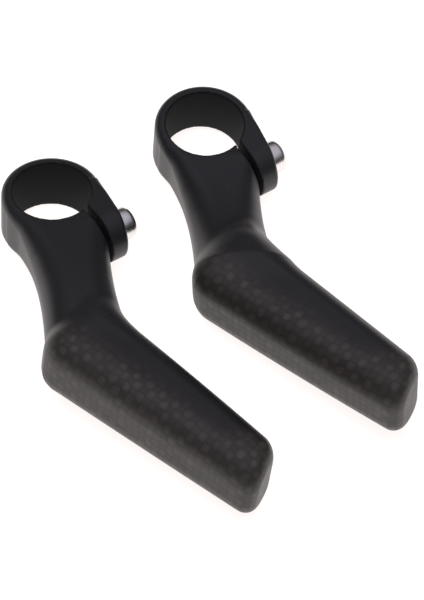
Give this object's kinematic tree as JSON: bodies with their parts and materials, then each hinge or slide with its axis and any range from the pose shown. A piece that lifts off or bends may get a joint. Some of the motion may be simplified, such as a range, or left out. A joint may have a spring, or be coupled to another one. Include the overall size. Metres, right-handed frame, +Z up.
{
  "type": "bar end grips",
  "caption": "Mirrored pair of clamp-on bar end grips: split ring with side screw, smooth bent neck, and tapered woven-carbon hand grip with closed rounded end.",
  "frame": {"origin": "middle of the pair's footprint, on the surface that both grips lie on", "axes": "+Z up from that surface; +Y from the grips' free ends towards their clamp rings; +X from the left grip to the right grip"},
  "size_m": [0.1166, 0.1376, 0.0262],
  "materials": {
    "black_moulding": "smooth satin black, faint broad highlights",
    "woven_carbon": "plain-weave carbon under a satin clear coat",
    "foam": "rigid light closed-cell foam",
    "aluminium": "plain turned",
    "steel": "polished stainless steel"
  },
  "bodies": {
    "left_grip_body": {"left_clamp_neck": "black_moulding", "left_grip_shell": "woven_carbon", "left_foam_core": "foam", "left_bolt_insert": "aluminium", "left_ear_sleeve": "aluminium"},
    "left_washer": {"left_bolt_washer": "steel"},
    "left_bolt": {"left_clamp_bolt": "steel"},
    "right_grip_body": {"right_clamp_neck": "black_moulding", "right_grip_shell": "woven_carbon", "right_foam_core": "foam", "right_bolt_insert": "aluminium", "right_ear_sleeve": "aluminium"},
    "right_washer": {"right_bolt_washer": "steel"},
    "right_bolt": {"right_clamp_bolt": "steel"}
  },
  "joints": [
    {"name": "left_bolt_travel", "type": "slide", "parent": "left_grip_body", "child": "left_washer", "axis": [0.814, 0.5687, -0.1187], "range_m": [0, 0.0104]},
    {"name": "left_bolt_turn", "type": "hinge", "parent": "left_washer", "child": "left_bolt", "pos_m": [-0.02619, 0.0231, 0.01041], "axis": [0.814, 0.5687, -0.1187], "range_deg": [0, 4681]},
    {"name": "right_bolt_travel", "type": "slide", "parent": "right_grip_body", "child": "right_washer", "axis": [0.8374, 0.545, -0.0406], "range_m": [0, 0.0104]},
    {"name": "right_bolt_turn", "type": "hinge", "parent": "right_washer", "child": "right_bolt", "pos_m": [0.01623, 0.04799, 0.00839], "axis": [0.8374, 0.545, -0.0406], "range_deg": [0, 4681]},
    {"name": "right_lift", "type": "slide", "parent": "left_grip_body", "child": "right_grip_body", "axis": [0, 0, 1], "range_m": [0, 0.08]}
  ],
  "couplings": [
    {"joint": "left_bolt_turn", "follows": "left_bolt_travel", "rad_per_m": 7854},
    {"joint": "right_bolt_turn", "follows": "right_bolt_travel", "rad_per_m": 7854}
  ]
}
